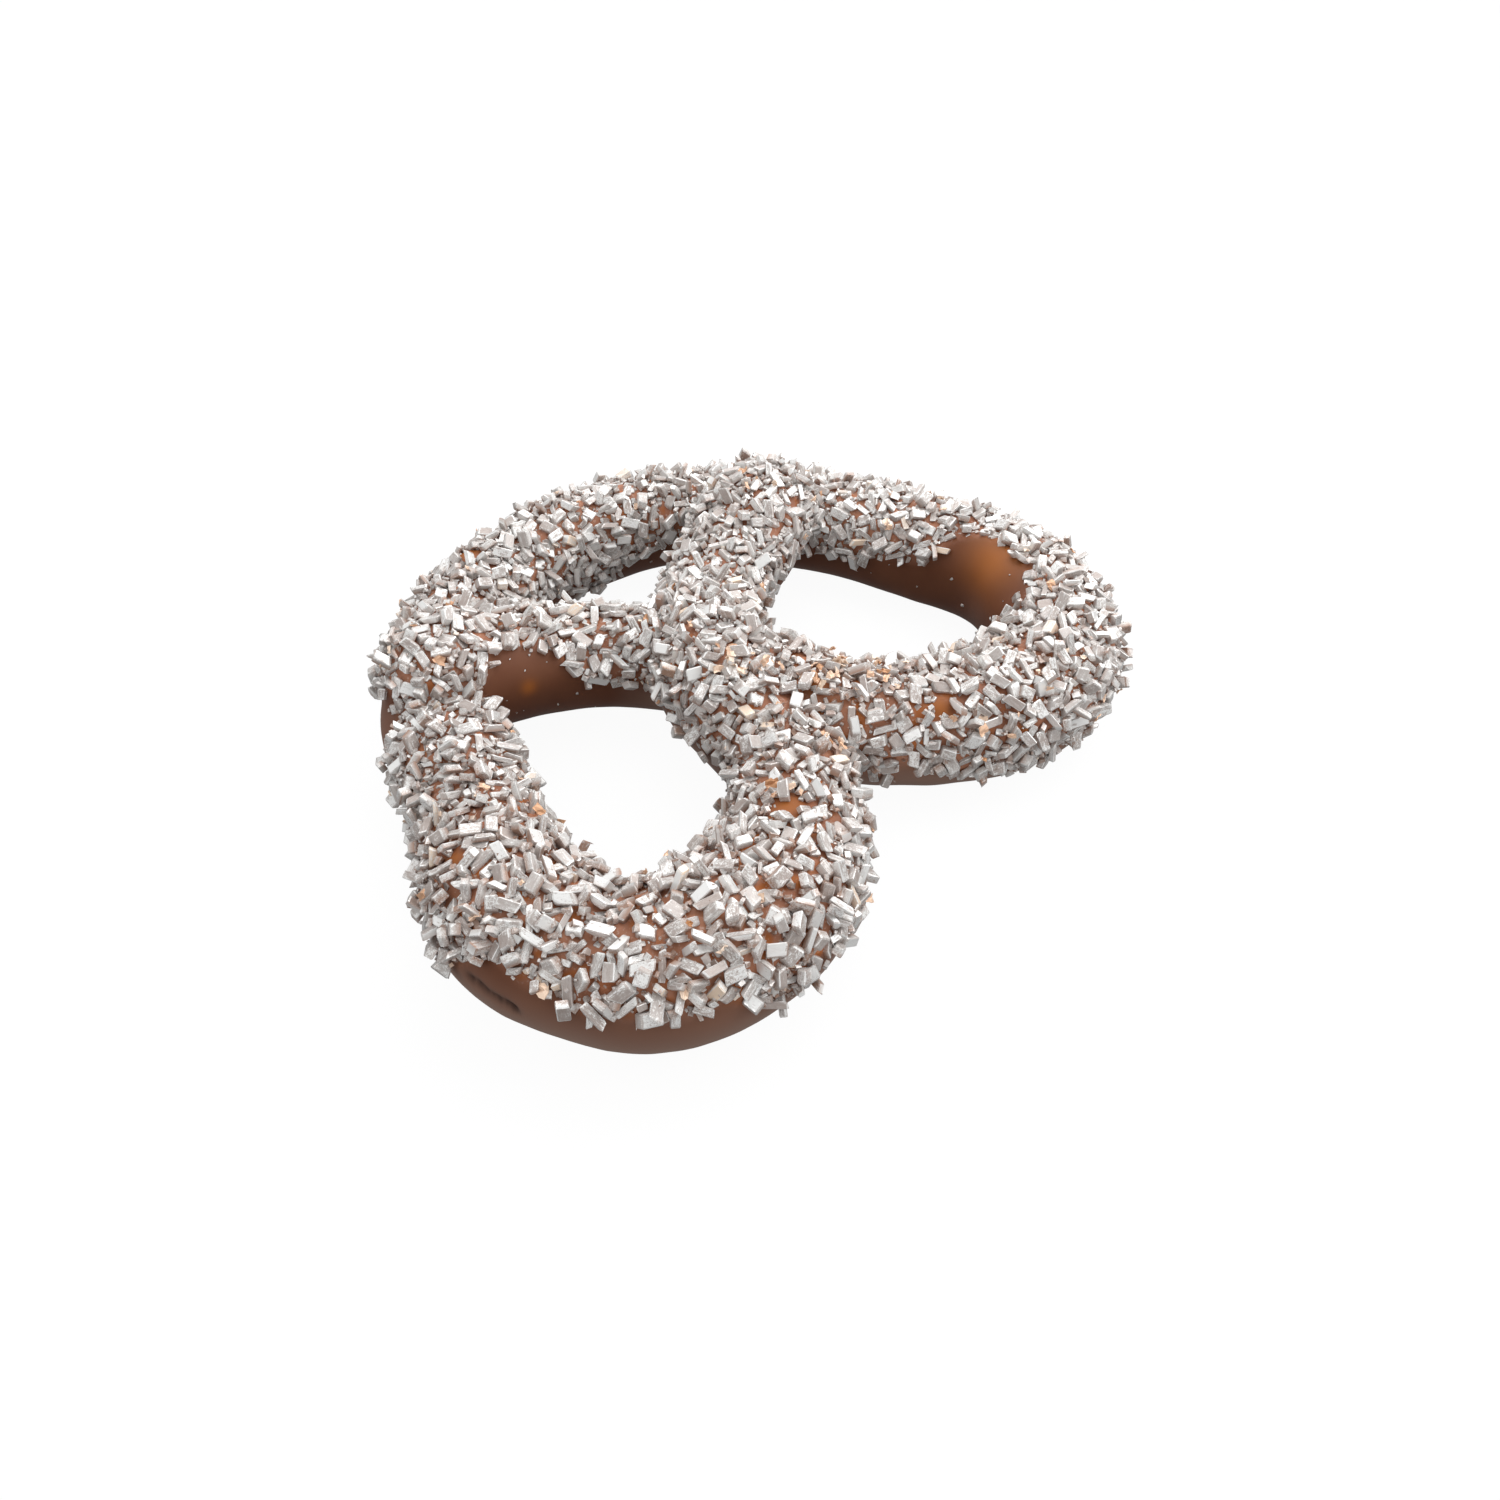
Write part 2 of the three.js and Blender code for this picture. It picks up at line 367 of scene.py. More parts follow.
def sugarRise(point, rings, ringTree):
    # how far a point of the skin lies inside the sugar's edge
    ring = rings[ringTree.find(point)[1]]
    place = point / coverage["raggedWidth"] + Vector(coverage["raggedNoise"])
    edge = coverage["edge"] + coverage["raggedness"] * noise.noise(place)
    for middle, reach, more in coverage["shifted"]:
        edge += more * falloff((point.xy - Vector(middle)).length, reach)
    rise = point.z - ring["middle"].z - edge
    for middle, reach in coverage["bareSpots"]:
        ragged = 1 + coverage["bareRaggedness"] * noise.noise(point)
        rise = min(rise, (point - Vector(middle)).length - reach * ragged)
    return rise


def wetness(point):
    return sum(
        more * falloff((point.xy - Vector(middle)).length, reach) for middle, reach, more in coverage["wet"]
    )


def strewnSpots(piece, tries, rings, ringTree, bare=False):
    # places on the coat, drawn by area and kept where sugar sticks, or only where it doesn't
    areas, total = [], 0.0
    for face in piece.data.polygons:
        total += face.area
        areas.append(total)
    for face in random.choices(piece.data.polygons, cum_weights=areas, k=tries):
        point, normal = face.center.copy(), face.normal.copy()
        stuck = random.random() * coverage["fade"] < sugarRise(point, rings, ringTree)
        if stuck != bare:
            yield point, normal


sugar = {
    "seed": 7,
    "kinds": {  # the first two are strewn together and the grains fill in between them
        "sugar_blocks": {
            "count": 1300,
            "length": (1.15, 1.65),
            "width": (0.78, 1.08),
            "depth": (0.5, 0.8),
            "film": 0.95,  # how far the chocolate climbs
        },
        "sugar_bars": {
            "count": 1400,
            "length": (1.2, 1.85),
            "width": (0.45, 0.7),
            "depth": (0.4, 0.62),
            "film": 0.95,
        },
        "sugar_grains": {
            "count": 2300,
            "length": (0.4, 0.9),
            "width": (0.3, 0.6),
            "depth": (0.25, 0.5),
            "film": 1.4,
        },
    },
    "spots": 200000,  # on the whole coat
    "spotsTried": 20,  # for each crystal
    "turnsTried": 4,  # in each spot
    "lean": 17,  # degrees, the spread of how far a crystal leans out of the skin
    "steep": (0.13, 42),  # the share of them that lean more, and how much
    "sunk": (0.24, 0.5),
    "liftEachTry": 0.11,
    "cell": 2.2,  # of the grid in which neighbours are looked up
    "nearby": 0.62,  # of the lengths of two crystals together: closer ones are tested
    "crowded": 0.36,  # of their widths together: no two lie closer
    "overlap": 2,  # of the test points of two crystals that may lie inside each other
    "grainsLost": 0.7,  # the share of the grains that went under where the coat was soft
    "chips": (0, 0, 1, 0, 1, 0),  # corners gone from each shape
    "chipAt": (0.54, 0.64),  # from the middle of a unit block
    "uncut": 1.2,  # the length of a unit block until its ends are cut
    "taper": 0.1,
    "slant": 0.28,  # of the ends
    "halfLength": 0.47,
    "bevel": 0.08,
    "bevelFlank": 0.35,  # how much of a flank's glow a bevel gets
}


def crystalTurn(normal, tilt):
    # lying along the skin, spun at random about its normal and leaning out of it
    spin = Quaternion(normal, random.uniform(0, 2 * math.pi))
    lie = Vector((0, 0, 1)).rotation_difference(normal)
    lean = Quaternion((0, 1, 0), random.gauss(0, tilt)) @ Quaternion((1, 0, 0), random.gauss(0, tilt))
    return spin @ lie @ lean


# the corners, the middle line and the sides of a unit block, a little inside it
testPoints = [Vector((x, y, z)) * 0.47 for x in (-1, 1) for y in (-1, 1) for z in (-1, 1)]
testPoints += [Vector((x, 0, 0)) * 0.47 for x in (-1, 0, 1)]
testPoints += [Vector((0.24, 0, 0)), Vector((-0.24, 0, 0)), Vector((0, 0.4, 0)), Vector((0, -0.4, 0))]


def inside(placed, other):
    # how many test points of one crystal lie in another
    count = 0
    for point in placed["points"]:
        local = other["inverse"] @ point
        if abs(local.x) < 0.5 and abs(local.y) < 0.5 and abs(local.z) < 0.5:
            count += 1
    return count


def layCrystal(point, normal, size, near):
    # the turn that runs least into the neighbours, lifted a little more with each turn tried
    share, steep = sugar["steep"]
    tilt = math.radians(steep if random.random() < share else sugar["lean"])
    best = None
    for attempt in range(sugar["turnsTried"]):
        turn = crystalTurn(normal, tilt)
        axes = turn.to_matrix()
        reach = sum(abs(normal.dot(axes.col[i])) * size[i] / 2 for i in range(3))
        at = point + normal * (reach - random.uniform(*sugar["sunk"]) + attempt * sugar["liftEachTry"])
        place = Matrix.LocRotScale(at, turn, size)
        crystal = {"at": at, "turn": turn, "size": size, "inverse": place.inverted()}
        crystal["points"] = [place @ test for test in testPoints]
        overlap = sum(inside(crystal, other) + inside(other, crystal) for other in near)
        if best is None or overlap < best[0]:
            best = (overlap, crystal)
        if overlap == 0:
            break
    return best


def strewSugar(piece, rings, ringTree):
    random.seed(sugar["seed"])
    *large, small = sugar["kinds"]
    wanted = [kind for kind in large for _ in range(sugar["kinds"][kind]["count"])]
    random.shuffle(wanted)
    wanted += [small] * sugar["kinds"][small]["count"]
    spots = strewnSpots(piece, sugar["spots"], rings, ringTree)
    steps = list(itertools.product((-1, 0, 1), repeat=3))
    grid, crystals = {}, []
    for kind in wanted:
        limits = sugar["kinds"][kind]
        size = Vector([random.uniform(*limits[side]) for side in ("length", "width", "depth")])
        for point, normal in itertools.islice(spots, sugar["spotsTried"]):
            if kind == small and random.random() < wetness(point) * sugar["grainsLost"]:
                continue
            key = [int(c // sugar["cell"]) for c in point]
            near, crowded = [], False
            for step in steps:
                for other in grid.get(tuple(k + s for k, s in zip(key, step)), []):
                    distance = (other["at"] - point).length
                    if distance < (other["size"].x + size.x) * sugar["nearby"]:
                        near.append(other)
                        crowded = crowded or distance < (other["size"].y + size.y) * sugar["crowded"]
            if crowded:
                continue
            overlap, crystal = layCrystal(point, normal, size, near)
            if overlap <= sugar["overlap"] + (kind == small):
                crystal["kind"] = kind
                crystals.append(crystal)
                grid.setdefault(tuple(key), []).append(crystal)
                break
    for crystal in crystals:
        crystal["tint"] = random.random()
        film = random.random() * sugar["kinds"][crystal["kind"]]["film"]
        crystal["film"] = film * (1 + wetness(crystal["at"]))
    return crystals


def crystalShapes(seed):
    # unit blocks with ends cut a little aslant, some with corners gone
    random.seed(seed)
    taper, slant = sugar["taper"], sugar["slant"]
    shapes = []
    for chips in sugar["chips"]:
        bm = bmesh.new()
        grain = bm.verts.layers.float_vector.new("grain")
        facet = bm.faces.layers.float.new("facet")
        flank = bm.faces.layers.float.new("flank")
        bmesh.ops.create_cube(bm, size=1)
        for vert in bm.verts:
            vert.co *= Vector((sugar["uncut"], random.uniform(1 - taper, 1), random.uniform(1 - taper, 1)))
        cuts = []
        for end in (-1, 1):
            aslant = Vector((end, random.uniform(-slant, slant), random.uniform(-slant, slant)))
            cuts.append((aslant.normalized(), sugar["halfLength"]))
        for _ in range(chips):
            corner = Vector([random.choice((-1, 1)) * random.uniform(0.5, 1) for _ in range(3)])
            cuts.append((corner.normalized(), random.uniform(*sugar["chipAt"])))
        for cut, depth in cuts:
            everything = bm.verts[:] + bm.edges[:] + bm.faces[:]
            sliced = bmesh.ops.bisect_plane(
                bm, geom=everything, plane_co=cut * depth, plane_no=cut, clear_outer=True
            )
            rim = [part for part in sliced["geom_cut"] if isinstance(part, bmesh.types.BMEdge)]
            if rim:
                bmesh.ops.edgeloop_fill(bm, edges=rim)
        bm.normal_update()
        for i, face in enumerate(bm.faces):
            face[facet] = i + 1
            face[flank] = 1 - abs(face.normal.z)
        bevelled = bmesh.ops.bevel(
            bm, geom=bm.edges[:], offset=sugar["bevel"], segments=1, affect="EDGES", profile=0.5, material=-1
        )
        for i, face in enumerate(bevelled["faces"]):
            # numbered apart, so that none shares its tone with a whole face
            face[facet], face[flank] = i + 20, sugar["bevelFlank"]
        bmesh.ops.recalc_face_normals(bm, faces=bm.faces)
        for vert in bm.verts:
            vert[grain] = vert.co
        shapes.append(bm)
    return shapes


dust = {
    "seed": 11,
    "count": 7000,
    "size": (0.16, 0.55),
    "length": (1, 1.7),  # against the size
    "depth": (0.5, 0.9),
    "lean": 0.6,  # in radians, the spread of how far a bit leans out of the skin
    "lift": (0.03, 0.55),  # of a bit's middle above the coat
    "film": (0.3, 1.3),
    "strays": {"count": 90, "lowest": 2, "size": 0.5, "lift": (0.03, 0.05), "film": 0.2},
    "tries": 4,  # for each bit
    "strayTries": 6,
    "shapes": 4,
    "edges": (0.6, 1.1),  # of a shape, against a unit block's
    "grain": 0.3,  # so small that no bit shows the painted pale edges of a whole crystal
    "flank": 0.6,
}


def strewDust(piece, rings, ringTree):
    # broken bits between the crystals, and a few strays on the bare walls
    random.seed(dust["seed"])
    strays = dust["strays"]
    sugared = strewnSpots(piece, dust["count"] * dust["tries"], rings, ringTree)
    bare = strewnSpots(piece, strays["count"] * dust["strayTries"], rings, ringTree, bare=True)
    walls = (spot for spot in bare if spot[0].z > strays["lowest"] and outwards(*spot) == 0)
    smallest, largest = dust["size"]
    bits = []

    def addBit(point, normal, scale, lift):
        edge = (smallest + (largest - smallest) * random.random() ** 2) * scale
        size = Vector((edge * random.uniform(*dust["length"]), edge, edge * random.uniform(*dust["depth"])))
        at = point + normal * random.uniform(*lift)
        turn = crystalTurn(normal, dust["lean"])
        bits.append({"at": at, "turn": turn, "size": size, "tint": random.random()})
        return bits[-1]

    for point, normal in itertools.islice(sugared, dust["count"]):
        bit = addBit(point, normal, 1, dust["lift"])
        bit["film"] = random.uniform(*dust["film"]) * (1 + wetness(point))
    for point, normal in itertools.islice(walls, strays["count"]):
        bit = addBit(point, normal, strays["size"], strays["lift"])
        bit["film"] = strays["film"]
    return bits


def dustShapes():
    random.seed(dust["seed"])
    shapes = []
    for _ in range(dust["shapes"]):
        bm = bmesh.new()
        grain = bm.verts.layers.float_vector.new("grain")
        facet = bm.faces.layers.float.new("facet")
        flank = bm.faces.layers.float.new("flank")
        bmesh.ops.create_cube(bm, size=1)
        for vert in bm.verts:
            vert.co *= Vector([random.uniform(*dust["edges"]) for _ in range(3)])
            vert[grain] = vert.co * dust["grain"]
        for i, face in enumerate(bm.faces):
            face[facet], face[flank] = i + 1, dust["flank"]
        shapes.append(bm)
    return shapes


flecks = {
    "seed": 5,
    "size": (0.35, 0.95),
    "width": (0.5, 0.9),  # against the size
    "lean": 0.5,  # in radians, the spread of how far one leans out of the skin
    "strewn": 110,  # all over, besides the clusters
    "tries": 1000,
    "lift": 1.15,  # how far above the coat the highest lies
    "leastLift": 0.4,  # the lowest, as a share of that
    "shapes": 4,
    "squares": 3,  # along each side of a flake
    "crumple": (0.12, 0.12, 0.2),
    "thickness": 0.07,
    "clusters": [  # where they lie close together, how many, and how far they spread
        ((-3.0, -5.8, 11.3), 9, 1.3),
        ((-1.9, -7.8, 11.0), 9, 1.3),
        ((0.2, -11.5, 10.6), 7, 1.5),
        ((3.5, -12.0, 10.2), 9, 1.6),
        ((5.5, -14.6, 9.8), 9, 1.4),
        ((-1.2, -17.0, 9.6), 8, 1.3),
        ((-9.6, -18.8, 10.0), 6, 1.3),
        ((13.9, 11.0, 12.4), 5, 1.6),
        ((29.0, -0.5, 8.6), 5, 1.3),
    ],
}


def strewFlecks(piece, rings, ringTree):
    random.seed(flecks["seed"])
    places = []
    for middle, count, reach in flecks["clusters"]:
        for _ in range(count):
            places.append(Vector(middle) + Vector([random.gauss(0, reach / 2) for _ in range(3)]))
    spots = strewnSpots(piece, flecks["tries"], rings, ringTree)
    places += [point for point, _ in itertools.islice(spots, flecks["strewn"])]
    flakes = []
    for place in places:
        _, point, normal, _ = piece.closest_point_on_mesh(place)
        edge = random.uniform(*flecks["size"])
        size = Vector((edge, edge * random.uniform(*flecks["width"]), edge))
        at = point + normal * random.uniform(flecks["leastLift"], 1) * flecks["lift"]
        turn = crystalTurn(normal, flecks["lean"])
        flakes.append({"at": at, "turn": turn, "size": size, "tint": random.random()})
    return flakes


def fleckShapes():
    # thin crumpled flakes
    random.seed(flecks["seed"])
    shapes = []
    squares = flecks["squares"]
    for _ in range(flecks["shapes"]):
        bm = bmesh.new()
        bmesh.ops.create_grid(bm, x_segments=squares, y_segments=squares, size=0.5)
        for vert in bm.verts:
            vert.co += Vector([random.uniform(-reach, reach) for reach in flecks["crumple"]])
        bmesh.ops.solidify(bm, geom=bm.faces[:], thickness=flecks["thickness"])
        bmesh.ops.recalc_face_normals(bm, faces=bm.faces)
        shapes.append(bm)
    return shapes


def addNode(tree, kind, settings=None, inputs=(), **sockets):
    # a node: its settings are made first, then the values or links of its first or named sockets
    node = tree.nodes.new(kind)
    settings = dict(settings or {})
    stops = settings.pop("stops", ())
    for name, value in settings.items():
        setattr(node, name, value)
    for i, (place, colour) in enumerate(stops):
        elements = node.color_ramp.elements
        element = elements[i] if i < 2 else elements.new(place)
        element.position = place
        element.color = (*colour, 1)
    enabled = [socket for socket in node.inputs if socket.enabled]
    named = [(node.inputs[name.replace("_", " ")], value) for name, value in sockets.items()]
    for socket, value in list(zip(enabled, inputs)) + named:
        if isinstance(value, Shade):
            value = value.socket
        if isinstance(value, bpy.types.NodeSocket):
            tree.links.new(value, socket)
        elif socket.type == "RGBA":
            socket.default_value = (*value[:3], 1)
        else:
            socket.default_value = value
    return node


def scatter(name, shapes, spots, material):
    # instances of the shapes on the spots, realized into one mesh
    shelf = bpy.data.collections.new(name + "_shapes")
    for i, bm in enumerate(shapes):
        mesh = bpy.data.meshes.new(name + "_shape")
        bm.to_mesh(mesh)
        bm.free()
        mesh.materials.append(material)
        shelf.objects.link(bpy.data.objects.new(f"{name}_shape_{i}", mesh))
    bm = bmesh.new()
    for spot in spots:
        bm.verts.new(spot["at"])
    piece = newPiece(name, bm, None)

    def carry(layerName, kind, values, field="value"):
        made = piece.data.attributes.new(layerName, kind, "POINT")
        made.data.foreach_set(field, values)

    carry("turn", "QUATERNION", [part for spot in spots for part in spot["turn"]])
    carry("size", "FLOAT_VECTOR", [part for spot in spots for part in spot["size"]], "vector")
    carry("tint", "FLOAT", [spot["tint"] for spot in spots])
    carry("film", "FLOAT", [spot.get("film", 0) for spot in spots])
    carry("shape", "INT", [i % len(shapes) for i in range(len(spots))])

    tree = bpy.data.node_groups.new(name, "GeometryNodeTree")
    tree.interface.new_socket("Geometry", in_out="INPUT", socket_type="NodeSocketGeometry")
    tree.interface.new_socket("Geometry", in_out="OUTPUT", socket_type="NodeSocketGeometry")
    source = addNode(tree, "NodeGroupInput")

    def layer(kind, layerName):
        node = addNode(tree, "GeometryNodeInputNamedAttribute", {"data_type": kind}, Name=layerName)
        return next(socket for socket in node.outputs if socket.enabled)

    shelfNode = addNode(
        tree, "GeometryNodeCollectionInfo", Collection=shelf, Separate_Children=True, Reset_Children=True
    )
    placed = addNode(
        tree,
        "GeometryNodeInstanceOnPoints",
        Points=source.outputs["Geometry"],
        Instance=shelfNode.outputs[0],
        Pick_Instance=True,
        Instance_Index=layer("INT", "shape"),
        Rotation=layer("QUATERNION", "turn"),
        Scale=layer("FLOAT_VECTOR", "size"),
    )
    real = addNode(tree, "GeometryNodeRealizeInstances", Geometry=placed.outputs[0])
    addNode(tree, "NodeGroupOutput", Geometry=real.outputs[0])
    piece.modifiers.new("scatter", "NODES").node_group = tree
    applyModifiers(piece)
    bpy.data.collections.remove(shelf)
    piece.data.shade_flat()
    return piece


class Shade:
    # a value of a material's tree: arithmetic on it adds Math nodes
    def __init__(self, tree, socket):
        self.tree = tree
        self.socket = socket

    def maths(self, operation, first, second):
        node = addNode(self.tree, "ShaderNodeMath", {"operation": operation}, (first, second))
        return Shade(self.tree, node.outputs[0])

    def __add__(self, other):
        return self.maths("ADD", self, other)

    def __radd__(self, other):
        return self.maths("ADD", other, self)

    def __sub__(self, other):
        return self.maths("SUBTRACT", self, other)

    def __rsub__(self, other):
        return self.maths("SUBTRACT", other, self)

    def __mul__(self, other):
        return self.maths("MULTIPLY", self, other)

    def __rmul__(self, other):
        return self.maths("MULTIPLY", other, self)

    def largest(self, other):
        return self.maths("MAXIMUM", self, other)

    def smallest(self, other):
        return self.maths("MINIMUM", self, other)

    def clamped(self):
        node = addNode(self.tree, "ShaderNodeClamp", None, (self,))
        return Shade(self.tree, node.outputs[0])

    def above(self, start, steepness):
        # 0 up to the start and rising to 1 beyond it
        return ((self - start) * steepness).clamped()


class Finish:
    # a material and its tree
    def __init__(self, name):
        self.material = bpy.data.materials.new(name)
        self.material.use_nodes = True
        self.tree = self.material.node_tree
        self.tree.nodes.clear()
        self.places = self.node("ShaderNodeTexCoord").outputs["Object"]

    def node(self, kind, settings=None, inputs=(), **sockets):
        return addNode(self.tree, kind, settings, inputs, **sockets)

    def layer(self, name):
        # a number that the piece's own mesh carries
        return Shade(self.tree, self.node("ShaderNodeAttribute", {"attribute_name": name}).outputs["Fac"])

    def noise(self, scale, detail):
        made = self.node(
            "ShaderNodeTexNoise", Vector=self.places, Scale=scale, Detail=detail, Roughness=0.55
        )
        return Shade(self.tree, made.outputs["Fac"])

    def ramp(self, value, stops):
        return self.node("ShaderNodeValToRGB", {"stops": stops}, Fac=value).outputs["Color"]

    def blend(self, share, first, second):
        node = self.node("ShaderNodeMix", {"data_type": "RGBA"}, (share, first, second))
        return next(socket for socket in node.outputs if socket.enabled)

    def bump(self, height, strength, distance):
        node = self.node("ShaderNodeBump", Strength=strength, Distance=distance, Height=height)
        return node.outputs["Normal"]

    def surface(self, **sockets):
        shader = self.node("ShaderNodeBsdfPrincipled", **sockets)
        self.node("ShaderNodeOutputMaterial", Surface=shader.outputs["BSDF"])
        return self.material


coatFinish = {
    "clouds": (140, 4),  # scale and detail of each noise
    "crumbs": (3600, 2),
    "patches": (480, 2),
    "bare": ((0.3, (0.12, 0.041, 0.02)), (0.7, (0.162, 0.062, 0.031))),
    # the painted sheen's colour on the foot's outer side
    "paintedFootSheen": (0.27, 0.165, 0.125),
    # the painted shadow's colour in the fold, and how much of it shows
    "foldAndShadow": (0.03, 0.013, 0.009),
    "foldShadowShare": 0.95,
    # under the sugar: its dust, and painted light that comes through the crystals
    "dustAndGlow": ((0.3, (0.28, 0.11, 0.06)), (0.7, (0.45, 0.208, 0.126))),
    "golden": (0.42, 0.135, 0.038),
    "goldenAbove": (0.57, 9),  # from which height of the patches on, and how sharply
    "goldenWet": 0.09,  # how much more of it there is where the coat was soft
    "crumb": (0.72, 0.6, 0.54),
    "crumbAbove": (0.58, 6),
    "crumbShare": 0.4,
    # the painted golden glow's colour, on bare coat and on sugared coat
    "paintedGlow": (0.31, 0.1, 0.022),
    "sugaredPaintedGlow": (0.38, 0.125, 0.045),
    "relief": {"clouds": 0.8, "crumbs": 0.5, "strength": 0.3, "distance": 0.0001},
    "roughness": (0.36, 0.2),  # the least, and what the clouds add
    "specular": 0.18,
}


def milkChocolate():
    # dark and smooth where it is bare, greyer at its foot's outer side with a painted sheen, lighter and
    # redder under the sugar's dust and the painted light that comes through the crystals, with a painted
    # shadow in the fold and a painted golden glow in places
    finish = Finish("milk chocolate")
    clouds = finish.noise(*coatFinish["clouds"])
    crumbs = finish.noise(*coatFinish["crumbs"])
    patches = finish.noise(*coatFinish["patches"])
    sugared = finish.layer("sugared")
    bare = finish.ramp(clouds, coatFinish["bare"])
    # painted sheen on the foot's outer side
    bare = finish.blend(finish.layer("paintedFootSheen"), bare, coatFinish["paintedFootSheen"])
    # painted shadow in the fold
    bare = finish.blend(finish.layer("foldAndShadow") * coatFinish["foldShadowShare"], bare, coatFinish["foldAndShadow"])
    # under the sugar: its dust, and painted light that comes through the crystals
    dustAndGlow = finish.ramp(clouds, coatFinish["dustAndGlow"])
    soft = patches + finish.layer("wet") * coatFinish["goldenWet"]
    dustAndGlow = finish.blend(soft.above(*coatFinish["goldenAbove"]), dustAndGlow, coatFinish["golden"])
    crumb = crumbs.above(*coatFinish["crumbAbove"]) * coatFinish["crumbShare"]
    dustAndGlow = finish.blend(crumb, dustAndGlow, coatFinish["crumb"])
    # painted golden glow
    paintedGlow = finish.blend(sugared, coatFinish["paintedGlow"], coatFinish["sugaredPaintedGlow"])
    colour = finish.blend(finish.layer("paintedGlow").clamped(), finish.blend(sugared, bare, dustAndGlow), paintedGlow)
    relief = coatFinish["relief"]
    height = clouds * relief["clouds"] + crumbs * sugared * relief["crumbs"]
    least, more = coatFinish["roughness"]
    return finish.surface(
        Base_Color=colour,
        Roughness=least + clouds * more,
        Normal=finish.bump(height, relief["strength"], relief["distance"]),
        Specular_IOR_Level=coatFinish["specular"],
    )


sugarFinish = {
    "streaks": ((4, 8, 7.5), 4.0),  # scale along each side and detail of each noise
    "patches": ((2.2, 3, 3), 2.0),
    "specks": ((17, 14, 14), 2.0),
    "tintStep": 60,  # how far apart two crystals' noises lie
    "facetStep": (3.31, 97),  # how far apart two facets' tones lie, and two crystals'
    "edgeAbove": (0.36, 9),
    # where the painted highlight falls, with the pearly dusting: the share of each pattern, edges included
    "shine": {"facet": 1, "patches": 0.7, "streaks": 0.7, "specks": 0.8, "edges": 0.08},
    "pearlHighlightAbove": (1.55, 4.5),
    "pearlHighlight": (0.83, 0.828, 0.815),
    "tone": {
        "tint": 0.4,
        "facet": 0.5,
        "patches": 0.6,
        "streaks": 0.6,
        "specks": 0.6,
        # the edges a little paler: a painted highlight
        "edges": 0.06,
        "flank": 0.3,  # the sides glow with the light that comes through the crystal
    },
    "darkest": 0.92,
    "tones": ((0.05, (0.35, 0.288, 0.26)), (0.5, (0.49, 0.448, 0.424)), (0.9, (0.67, 0.655, 0.634))),
    "peach": (0.8, 0.64, 0.5),
    "peachAbove": (0.985, 200),  # of the tints: few crystals have it
    "film": (0.33, 0.185, 0.125),
    "filmTop": (-0.12, 0.55),  # its height in the crystal with no film, and what a film of 1 adds
    "filmRaggedness": 0.5,
    "filmSteepness": 1.5,
    "filmShare": (0.9, 0.55),  # how dense it is, and how much less so under the painted highlight
    "relief": {"streaks": 0.6, "patches": 0.4, "specks": 0.2, "strength": 0.5, "distance": 0.00008},
    "metallic": (0.15, 0.2),  # the least, and what brightness adds
    "roughness": (0.44, 0.14),  # the most, and what brightness takes off
    "coat": (0.35, 0.18),  # weight and roughness
}


